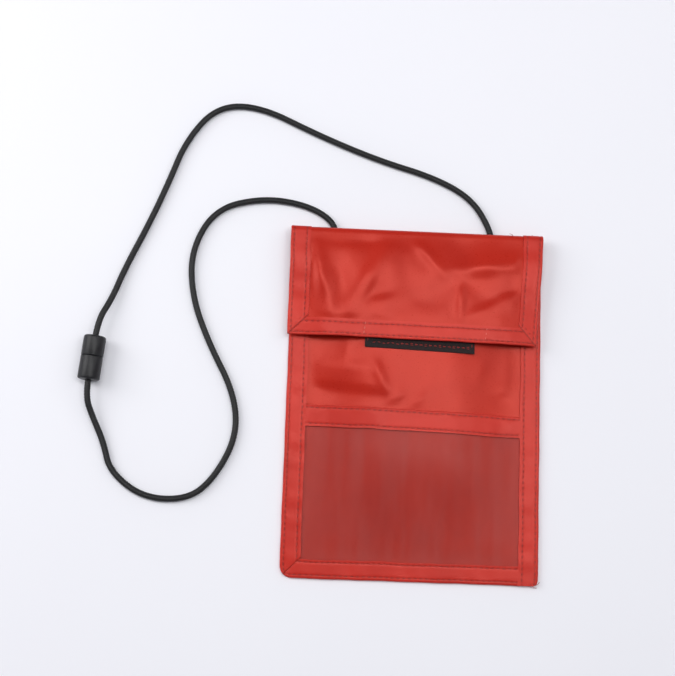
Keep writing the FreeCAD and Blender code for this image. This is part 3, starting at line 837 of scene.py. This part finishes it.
def frontWave(x, y):
    # free between the seams and held flat by the loop patch
    inPatch = easeIn((32 - np.abs(x - held["patchX"])) / 6) * easeIn((y - 24) / 3) * easeIn((49 - y) / 3)
    free = easeIn((held["side"] - np.abs(x)) / 7) * easeIn((54 - y) / 8)
    return foldsAt(x, y, frontFolds) * free * (1 - inPatch)


def makeFrontCloth():
    piece, x, y = clothGrid("frontCloth", frontLow, frontHigh, slack["cell"])
    z = layerHeight("front", x, y)
    # sewn down at the seams and the mouth's hem, and held flat by the loop patch
    low, high = held["patchY"]
    onPatch = (np.abs(x - held["patchX"]) < held["patchHalf"]) & (y > low) & (y < high)
    pinned = (np.abs(x) > held["side"]) | (y < held["foot"]) | (y > held["mouth"]) | onPatch
    waves = np.zeros_like(z)
    waves = slackWaves(piece, x, y, z, pinned)
    waves = (waves + frontWave(x, y)) * (0.1 + 0.9 * easeIn((y + 14) / 12))
    room = np.where(y < windowTop, 0.35 * rise(x, y), 9)  # it stays under the window film
    setPoints(piece, *roundCorners(x, y), z + np.minimum(waves, room))
    storeValues(piece, "rubbedMatt", y < windowTop - 3)
    thicken(piece, pouch["cloth"])
    return finishPiece(piece, "pouch", "nylon", ["front_panel"])


def makeBackCloth():
    high = [backHigh[0], flapRoll["centre"][0]]
    piece, x, y = clothGrid("backCloth", backLow, high, 1.8)
    z = 0.6 + 3.65 * ramp(y)
    inner = easeIn((52 - np.abs(x)) / 8) * easeIn((y + 76) / 10) * easeIn((66 - y) / 8)
    z = z + inner * np.abs(ripple(x + 0.4 * y, 5, (58, 37, 83), 0.2))
    setPoints(piece, *roundCorners(x, y), z)
    thicken(piece, pouch["cloth"])
    return finishPiece(piece, "pouch", "nylon", ["back_panel"])


# The flap is one cloth with the top fold: its section runs from the shelf, round the roll and down the front
flapLow, flapHigh = corners("flap_panel")
flapRoll = {"centre": (85.35, 6.2), "radius": 1.95}
flapLong = 54  # from the roll to the flap's end
rollLength = math.pi * flapRoll["radius"]
flapBend = ("flap", (0, 0.0862, 0.0044), (0, 0.0849, 0.0080))
flapSlant = 0.0114  # the end is cut a little askew
flapHang = {"corners": 2.6, "pressed": 1.1, "pressedLong": 17, "wave": 0.28}


def flapDroop(x, y):
    # the corners hang down towards the pouch's edges, and the free end waves a little
    down = np.clip((flapRoll["centre"][0] - y) / flapLong, 0, 1)
    side = easeIn((np.abs(x) - 40) / 23)
    wave = ripple(x, 21, (47, 31, 70), flapHang["wave"]) * easeIn((down - 0.5) / 0.5)
    # the top fold is pressed flat, so the cloth falls away to it
    pressed = 1 - easeIn(down * flapLong / flapHang["pressedLong"])
    return wave - flapHang["corners"] * side * easeIn(down * 1.25) - flapHang["pressed"] * pressed


def flapWave(x, y):
    free = easeIn((54 - np.abs(x)) / 5) * easeIn((y - 39.5) / 4) * easeIn((84 - y) / 6)
    return foldsAt(x, y, flapFolds) * free


def flapPlace(x, run, lift):
    # run is the distance along the cloth from the shelf, lift the height over the cloth's middle surface
    run, lift = np.asarray(run, float), np.asarray(lift, float)
    angle = -math.pi / 2 + np.clip(run / rollLength, 0, 1) * math.pi
    y = flapRoll["centre"][0] + (flapRoll["radius"] + lift) * np.cos(angle)
    z = flapRoll["centre"][1] + (flapRoll["radius"] + lift) * np.sin(angle)
    past = np.clip(run - rollLength, 0, None)
    y = y - past
    down = np.clip(past / flapLong, 0, 1)
    z = z + flapDroop(x, y) * easeIn(run / rollLength)
    return x, y - flapSlant * x * down, z


def makeFlapCloth():
    length = rollLength + flapRoll["centre"][0] - flapLow[1]
    piece, x, run = clothGrid("flapCloth", (flapLow[0], 0), (flapHigh[0], length), 1.2)
    flat = flapRoll["centre"][0] - np.clip(run - rollLength, 0, None)
    waves = np.zeros_like(x)
    pinned = (np.abs(x) > 53) | (run < rollLength + 1.5) | (run > length - 8)
    waves = slackWaves(piece, x, run, 0 * x, pinned)
    across = x * (1 - flapTaper(x, run))
    setPoints(piece, *flapPlace(across, run, flapWave(x, flat) + waves * 0.8))
    thicken(piece, pouch["cloth"])
    return finishPiece(piece, "pouch", "nylon", ["flap_panel"], flapBend)


def flapTaper(x, run):
    # a share of x: the right side comes in towards the free end, the left stands a little proud of the pouch
    down = np.clip((run - rollLength) / flapLong, 0, 1)
    return np.where(x > 0, 0.048 * down ** 1.2, -0.015)


frontCloth = makeFrontCloth()
backCloth = makeBackCloth()
flapCloth = makeFlapCloth()
print("cloth panels made")


# Binding tapes, folded over the edges

tape = {"deep": 10.0, "holePitch": 2.8, "step": 0.7, "cell": 0.45, "thick": 0.4, "channel": 0.13,
        "edgeWave": 0.22, "reach": 53.6}  # reach: from the middle to the end of a tape across the front
rows = {"side": (1.75, 8.05), "flapEnd": (1.5, 7.0), "mouth": (1.35, 9.2)}  # in from the tape's outer edge


def tapeSection(deep, half, under):
    # across the tape: distance in from the outer edge and side (+1 upper leg, -1 lower leg)
    # half is half the height between the legs' middle surfaces, under the depth of the lower leg
    columns = round((deep - half) / tape["cell"])
    upper = np.linspace(deep, half + tape["thick"] / 2, columns)
    turns = np.linspace(90, -90, 9)[1:-1]
    bend = half + tape["thick"] / 2 - half * np.cos(np.radians(turns))
    lower = np.linspace(half + tape["thick"] / 2, under, max(2, round(under / tape["cell"] / 2)))
    across = np.concatenate([upper, bend, lower])
    height = np.concatenate([np.ones(len(upper)), np.sin(np.radians(turns)), -np.ones(len(lower))])
    return across, height


def foldedTape(name, deep, low, high, place, half, mitres, seed, sewn=rows["side"], holeShade=1.0, under=None):
    # place(across, along, height) gives millimetres; a mitred end runs back as it comes in from the edge
    across, height = tapeSection(deep, half, under or deep - 0.3)
    columns = len(across) - 1
    piece, column, share = flatGrid(name, columns, round((high - low) / tape["step"]))
    nameWeave(piece, columns * tape["cell"] * mm, (high - low) * mm)
    column = column * columns
    inward = np.interp(column, range(columns + 1), across)
    side = np.interp(column, range(columns + 1), height)
    first = low + mitres[0] * inward
    last = high - mitres[1] * inward
    along = first + (last - first) * share
    wavy = inward + ripple(along, seed, (41, 23, 67), tape["edgeWave"]) * easeIn((inward - 3) / 6)
    wavy = wavy + ripple(along, seed + 50, (19, 47), 0.1)
    # dark gathers painted shade along each sewn row, deepest at the needle holes, and in the creases of mitred
    # corners
    dark = np.zeros_like(along)
    press = np.zeros_like(along)
    for number, row in enumerate(sewn):
        near = np.exp(-((inward - row) / 0.42) ** 2) * (np.abs(side) > 0.9)
        hole = np.cos(math.pi * along / tape["holePitch"] + number) ** 2
        press += near * (0.55 + 0.45 * hole)
        dark += near * (0.18 + 0.6 * hole ** 2) * holeShade
    for number, mitre in enumerate(mitres):  # the fold of a mitred corner is pressed in
        if mitre:
            gap = (along - first) if number == 0 else (last - along)
            crease = np.exp(-(gap / 0.5) ** 2)
            press += crease * 0.8
            # painted shade in the crease of the mitred fold
            dark += crease * 0.75
    lift = side * half - np.sign(side) * press * tape["channel"]
    lift = lift + (side > 0.9) * ripple(along, seed + 9, (9.5, 14, 33), 0.12) * easeIn((inward - 1) / 3)
    setPoints(piece, *place(wavy, along, lift))
    storeValues(piece, "needleHoleShade", np.clip(dark, 0, 1))
    thicken(piece, tape["thick"])
    return piece


bodyHalf = 0.75  # half the height between the two legs of the pouch's edge tape
bodyMiddle = 0.95
flapHalf = 0.4
mouthHalf = 0.35


def bodyLevel(y):
    # middle of the edge stack over the table: it rises to the shelf, where it is one cloth thick
    return bodyMiddle + (pouch["shelf"] - bodyMiddle) * ramp(y)


def sidePlace(side):
    def place(across, along, lift):
        x = side * (pouch["half"] - across)
        thin = 1 - (1 - 0.4 / bodyHalf) * ramp(along)
        return *roundCorners(x, along), bodyLevel(along) + lift * thin
    return place


def bottomPlace(across, along, lift):
    return *roundCorners(along, pouch["bottom"] + across), bodyMiddle + lift


def flapSidePlace(side):
    def place(across, along, lift):
        x = side * (pouch["half"] - across)
        x = x - x * flapTaper(np.full_like(x, side), along)
        return flapPlace(x, along, lift)
    return place


flapRun = rollLength + flapRoll["centre"][0] - flapLow[1] + 0.4  # along the flap to its free edge


def flapEndPlace(across, along, lift):
    run = flapRun - across
    x = along - along * flapTaper(along, run)
    return flapPlace(x, run, lift)


def mouthPlace(across, along, lift):
    y = windowTop - across - windowSlant * along
    return along, y, layerHeight("mouthTape", along, y) + lift


def makeTapes():
    half, bottom, fold, deep = pouch["half"], pouch["bottom"], 85.3, tape["deep"]
    bend = {"towards": flapBend}
    for node, body, bending, *form in (
            ("side_binding_left", "pouch", {},
             "sideTapeLeft", deep, bottom, fold, sidePlace(-1), bodyHalf, (1, 0), 3),
            ("side_binding_right", "pouch", {},
             "sideTapeRight", deep, bottom, fold, sidePlace(1), bodyHalf, (0, 0), 4),
            ("bottom_binding", "pouch", {},
             "bottomTape", 9.3, -half, 54.2, bottomPlace, bodyHalf, (1, 0), 6),
            ("flap_binding_left", "pouch", bend,
             "flapTapeLeft", deep, 0.6, flapRun, flapSidePlace(-1), flapHalf, (0, 1), 7),
            ("flap_binding_right", "pouch", bend,
             "flapTapeRight", deep, 0.6, flapRun, flapSidePlace(1), flapHalf, (0, 1), 8),
            ("flap_binding_end", "flap", {},
             "flapTapeEnd", 8.8, -half, half, flapEndPlace, flapHalf, (1, 1), 9, rows["flapEnd"]),
            ("window_mouth_binding", "pouch", {}, "windowMouthTape", 10.6, -tape["reach"], tape["reach"],
             mouthPlace, mouthHalf, (0, 0), 12, rows["mouth"])):
        finishPiece(foldedTape(*form), body, "tape", [node], **bending)


makeTapes()
print("binding tapes made")


# Window film

def makeFilm():
    low, high = corners("window_film")
    piece, x, y = clothGrid("windowFilm", low, high, 1.8)
    slanted = y - windowSlant * x * easeIn((y - low[1]) / 80)
    z = layerHeight("film", x, y)
    free = easeIn((51 - np.abs(x)) / 8) * easeIn((y + 74) / 8) * easeIn((-16 - y) / 8)
    streak = ripple(x + 0.03 * y, 31, (17, 11, 29), 0.16) * easeIn((-8 - x) / 26)
    z = z + free * (0.32 + streak + ripple(0.5 * x - y, 33, (62, 90), 0.14))
    setPoints(piece, *roundCorners(x, slanted), z)
    thicken(piece, 0.3)
    return finishPiece(piece, "pouch", "vinyl", ["window_film"])


windowFilm = makeFilm()
print("window film made")


# Sewing: one stitch is modelled and copied along each row

stitch = {"wide": 0.21, "thick": 0.15, "long": 1.02, "pitch": 2.8, "sides": 6, "rings": 5, "sunk": 0.05}


def modelStitch():
    deselectAll()
    bpy.ops.mesh.primitive_uv_sphere_add(segments=stitch["sides"], ring_count=stitch["rings"], radius=1)
    editWhole(bpy.ops.transform.resize, value=(stitch["wide"], stitch["long"], stitch["thick"]))
    return takeShape(bpy.context.object)


stitchPoints, stitchFaces = modelStitch()


def sewRow(place, start, end, seed, long=1.0, pitch=stitch["pitch"]):
    # place(along) gives x, y, z in millimetres on the row; each stitch lies along the row's own direction
    draw = random.Random(seed)
    count = max(1, int((end - start) / pitch))
    spots = []
    for i in range(count):
        at = start + (i + 0.5) * (end - start) / count + draw.uniform(-0.12, 0.12)
        here, ahead = (np.array([float(v) for v in place(at + d)]) for d in (-0.3, 0.3))
        middle = (here + ahead) / 2
        way = (ahead - here) / np.linalg.norm(ahead - here)
        side = np.cross(way, (0, 0, 1))
        size = np.linalg.norm(side)
        side = side / size if size > 0.2 else np.array((1.0, 0, 0))
        up = np.cross(side, way)
        local = stitchPoints * (1, long * draw.uniform(0.88, 1.06), 1)
        spots.append(middle + local[:, :1] * side + local[:, 1:2] * way + local[:, 2:] * up)
    return spots


def sewnPiece(name, spots, nodes=(), body="pouch", yarn="thread", towards=None):
    faces, step = [], len(stitchPoints)
    for i in range(len(spots)):
        faces.extend(tuple(v + i * step for v in f) for f in stitchFaces)
    piece = meshPiece(name, np.concatenate(spots) * mm, faces)
    faceOutwards(piece)
    return finishPiece(piece, body, yarn, nodes, towards, angle=70)


def spotOn(place, across, along, lift):
    x, y, z = place(*(np.array([float(v)]) for v in (across, along, lift)))
    return x[0], y[0], z[0]


def rowOn(place, across, lift):
    # a row at that distance in from the tape's outer edge, on top of the tape (or under it)
    return lambda along: spotOn(place, across, along, lift)


def sewPair(place, across, lifts, starts, end, seed):
    # a row on top of the tape and one beneath it
    spots = []
    for lift, start, own in zip(lifts, starts, (seed, seed + 5)):
        spots += sewRow(rowOn(place, across, lift), start, end, own)
    return spots


def makeStitching():
    top = tape["thick"] / 2 - stitch["sunk"]
    inCorner = 0.8  # a row stops this far short of the mitre
    edgeLifts = (bodyHalf + top, -bodyHalf - top + 0.08)
    flapLifts = (flapHalf + top, -flapHalf - top)
    spots = []
    for side, seed in ((-1, 100), (1, 110)):
        for number, across in enumerate(rows["side"]):
            low = pouch["bottom"] + (across + inCorner if side < 0 else 1.5)
            spots += sewPair(sidePlace(side), across, edgeLifts, (low, low), 66, seed + number)
    for number, across in enumerate(rows["side"]):
        low = -pouch["half"] + across + inCorner
        spots += sewPair(bottomPlace, across, edgeLifts, (low, low), 53.2, 120 + number)
    sewnPiece("edgeStitching", spots, ["edge_stitching"])
    spots = []
    for side, seed in ((-1, 130), (1, 140)):
        for number, across in enumerate(rows["side"]):
            end = flapRun - across - inCorner
            spots += sewPair(flapSidePlace(side), across, flapLifts, (4.5, 8.5), end, seed + number)
    for number, across in enumerate(rows["flapEnd"]):
        low = -pouch["half"] + across + inCorner
        spots += sewPair(flapEndPlace, across, flapLifts, (low, low), -low, 150 + number)
    for side in (-1, 1):  # back and forth over each mitred corner
        for shift, seed in ((0.0, 160), (1.1, 161)):
            def mitre(along, place=flapSidePlace(side), shift=shift):
                across = 9.3 - along
                return spotOn(place, across - shift, flapRun - across - shift, flapLifts[0])
            spots += sewRow(mitre, 0.8, 7.6, seed + side, pitch=1.9, long=0.75)
    sewnPiece("flapStitching", spots, ["flap_stitching"], towards=flapBend)
    spots = []
    for number, across in enumerate(rows["mouth"]):
        spots += sewRow(rowOn(mouthPlace, across, mouthHalf + top), -52.5, 52.5, 170 + number)
    sewnPiece("windowMouthStitching", spots, ["window_mouth_stitching"])


makeStitching()
print("stitching made")


# The pocket mouth's hem, and the hook and loop patches

hem = {"deep": 9.0, "under": 1.4, "row": 7.4, "half": 0.38}
patches = {
    "loop": {"node": "loop_patch", "thick": 0.5, "level": 5.7, "tilt": -0.028, "border": 3.4, "spacing": 1.15,
             "ring": 0.42, "wire": 0.09},
    "hook": {"node": "hook_patch", "thick": 0.4, "lift": -0.8, "border": 1.6, "spacing": 1.3, "ring": 0.34,
             "wire": 0.07},
}


def mouthHemPlace(across, along, lift):
    y = pouch["mouth"] + 0.3 - across
    return along, y, layerHeight("hem", along, y) + lift


def makeHem():
    # the hem's needle holes get half the painted shade of a binding tape
    piece = foldedTape("pocketMouthHem", hem["deep"], -tape["reach"], tape["reach"], mouthHemPlace, hem["half"],
                       (0, 0), 15, sewn=(hem["row"],), holeShade=0.5, under=hem["under"])
    finishPiece(piece, "pouch", "nylon", ["pocket_mouth_hem"])
    row = rowOn(mouthHemPlace, hem["row"], hem["half"] + tape["thick"] / 2)
    sewnPiece("mouthHemStitching", sewRow(row, -52, 52, 180))


def modelRing(radius, wire):
    # one loop of pile: a small ring that stands half sunk in the tape
    deselectAll()
    bpy.ops.mesh.primitive_torus_add(major_segments=7, minor_segments=3, major_radius=radius,
                                     minor_radius=wire)
    editWhole(bpy.ops.transform.rotate, value=math.radians(90), orient_axis="X", center_override=(0, 0, 0))
    return takeShape(bpy.context.object)


def modelHook(radius, wire):
    # one hook: a stiff stem that bends over at its tip
    turn = np.radians(np.array([0, 0, 70, 140, 205]))
    line = np.stack([radius * (1 - np.cos(turn)), 0 * turn, radius * 1.3 + radius * np.sin(turn)], axis=1)
    line[0] = (0, 0, -radius)
    return roundTube(line, 4, wire)


def makePatch(kind, name, place, pile, body):
    values = patches[kind]
    low, high = corners(values["node"])
    slab, across, along = flatGrid(kind + "Slab", 44, 16)
    x = low[0] + across * (high[0] - low[0])
    y = low[1] + along * (high[1] - low[1])
    setPoints(slab, *place(x, y, 0 * x))
    thicken(slab, values["thick"])
    applyModifier(slab, "BEVEL", width=0.12 * mm, segments=2, limit_method="ANGLE")
    slabPoints, allFaces = takeShape(slab)
    allPoints, start = [slabPoints], len(slabPoints)
    draw = random.Random(190)
    shape, shapeFaces = pile
    border, spacing = values["border"], values["spacing"]
    for column in np.arange(low[0] + border, high[0] - border, spacing):
        for line in np.arange(low[1] + border, high[1] - border, spacing):
            turn = draw.uniform(0, math.pi)
            spot = (column + draw.uniform(-0.3, 0.3), line + draw.uniform(-0.3, 0.3))
            local = shape * draw.uniform(0.8, 1.15)
            x = spot[0] + local[:, 0] * math.cos(turn) - local[:, 1] * math.sin(turn)
            y = spot[1] + local[:, 0] * math.sin(turn) + local[:, 1] * math.cos(turn)
            allPoints.append(np.stack(place(x, y, local[:, 2] + values["thick"] / 2), axis=1) * mm)
            allFaces.extend(tuple(v + start for v in f) for f in shapeFaces)
            start += len(shape)
    piece = meshPiece(name, np.concatenate(allPoints), allFaces)
    faceOutwards(piece)
    return finishPiece(piece, body, kind, [values["node"]], angle=60)


def loopPlace(x, y, lift):
    values = patches["loop"]
    return x, y + values["tilt"] * (x - 2), values["level"] + values["thick"] / 2 + lift + 0 * x


def hookPlace(x, y, lift):
    run = rollLength + flapRoll["centre"][0] - y
    return flapPlace(x, run, patches["hook"]["lift"] - lift)


def makePatches():
    loop, hook = patches["loop"], patches["hook"]
    ring, stem = modelRing(loop["ring"], loop["wire"]), modelHook(hook["ring"] / 2, hook["wire"])
    makePatch("loop", "loopPatch", loopPlace, ring, "pouch")
    makePatch("hook", "hookPatch", hookPlace, stem, "flap")
    low, high = corners("loop_patch")
    spots = []
    bottom, top = low[1] + 2.6, high[1] - 1.6
    size = {"pitch": 2.3, "long": 0.85}

    def onLoop(x, y):
        return [float(v) for v in loopPlace(np.float64(x), np.float64(y), loop["thick"] / 2 + 0.06)]

    for number, y in enumerate((bottom, top)):
        for again, shift in enumerate((0.0, 0.35)):
            def wavering(x, y=y, shift=shift):
                return onLoop(x, y + shift + 0.25 * math.sin(x * 0.9 + shift * 9))
            seed = 200 + number * 3 + again
            spots += sewRow(wavering, low[0] + 3.5 + 14 * again, high[0] - 2.2, seed, **size)
    for number, x in enumerate((low[0] + 1.4, high[0] - 1.4)):
        spots += sewRow(lambda y, x=x: onLoop(x, y), bottom, top, 210 + number, **size)
    sewnPiece("loopPatchStitching", spots, ["loop_patch_stitching"])
    low, high = corners("hook_patch")
    spots = []
    for number, x in enumerate((low[0] - 1.2, high[0] + 0.8)):
        for up in (1, -1):
            def onFlap(across, x=x, lift=up * (flapHalf + tape["thick"] / 2 - stitch["sunk"])):
                return spotOn(flapEndPlace, across, x + 0.12 * across, lift)
            spots += sewRow(onFlap, 1.3, 8.2, 220 + number, pitch=1.9, long=0.8)
    sewnPiece("hookPatchStitching", spots, ["hook_patch_stitching"], "flap", "paleThread")


makeHem()
makePatches()
print("hem and patches made")


# Tabs that hold the cord ends behind the fold, and stray thread ends

tab = {"thick": 0.4, "wing": 3.85, "crown": 1.7, "cordLevel": 1.9, "lowest": 0.2}
threadRadius = 0.13


def makeTab(name, node, seed):
    low, high = corners(node)
    centre = (low[0] + high[0]) / 2
    half = (high[0] - low[0]) / 2
    # the strip's section: flat wing, down round the cord, and out to the other wing
    turns = np.radians(np.linspace(0, 180, 13))
    wing, under = tab["wing"], tab["crown"]
    slope = np.array([-half, -half + 1.4, -under - 0.9, -under - 0.25])
    drop = np.array([wing, wing, wing, wing - 0.35])
    across = np.concatenate([slope, -under * np.cos(turns), -slope[::-1]])
    level = np.concatenate([drop, tab["cordLevel"] - under * np.sin(turns), drop[::-1]])
    piece, column, along = flatGrid(name, len(across) - 1, 14)
    nameWeave(piece, 2.4 * half * mm, (high[1] - low[1]) * mm)
    column = column * (len(across) - 1)
    along = low[1] + along * (high[1] - low[1])
    x = centre + np.interp(column, range(len(across)), across) + ripple(along, seed, (7, 11), 0.1)
    z = np.interp(column, range(len(across)), level)
    setPoints(piece, x, along, np.maximum(z, tab["lowest"]))
    thicken(piece, tab["thick"])
    finishPiece(piece, "pouch", "tape", [node], slot="red_coated_nylon")
    spots = []
    for side in (-1, 1):
        for shift in (-0.5, 0.0, 0.5):  # a bar tack: three passes over each other
            x = centre + side * (half - 2.0) + shift
            spots += sewRow(lambda y, x=x: (x, y, wing - 0.24), low[1] + 1.2, high[1] - 1.2, seed + 3,
                            pitch=1.5, long=0.7)
    return spots


def looseThread(name, points):
    line = evenSteps(smoothLine(name + "Line", points), 0.4 * mm)[0]
    piece = meshPiece(name, *roundTube(line, 6, threadRadius * mm))
    faceOutwards(piece)
    return finishPiece(piece, "pouch", "thread")


def makeTabs():
    spots = makeTab("cordTabLeft", "cord_tab_left", 41) + makeTab("cordTabRight", "cord_tab_right", 42)
    sewnPiece("tabStitching", spots, ["tab_stitching"])
    ends = {  # thread ends that were never trimmed
        "threadEndFoldA": [(47.6, 86.6, 7.2), (47.9, 87.5, 6.9), (47.2, 88.3, 6.0), (46.4, 88.5, 5.2)],
        "threadEndFoldB": [(56.8, 86.6, 7.1), (57.2, 87.5, 6.7), (58.1, 88.1, 5.9), (58.2, 88.3, 5.0)],
        "threadEndCornerA": [(61.0, -86.0, 1.9), (61.9, -86.9, 2.3), (63.2, -86.6, 1.9), (64.2, -85.4, 1.0)],
        "threadEndCornerB": [(59.5, -86.3, 1.9), (60.2, -87.4, 2.2), (61.6, -88.3, 1.4), (62.9, -88.2, 0.7)],
    }
    for name, points in ends.items():
        looseThread(name, points)


makeTabs()
print("tabs and thread ends made")

left = [name for name, node in frame["nodes"].items() if not node.hide_render]
print("CAD nodes still shown:", left)
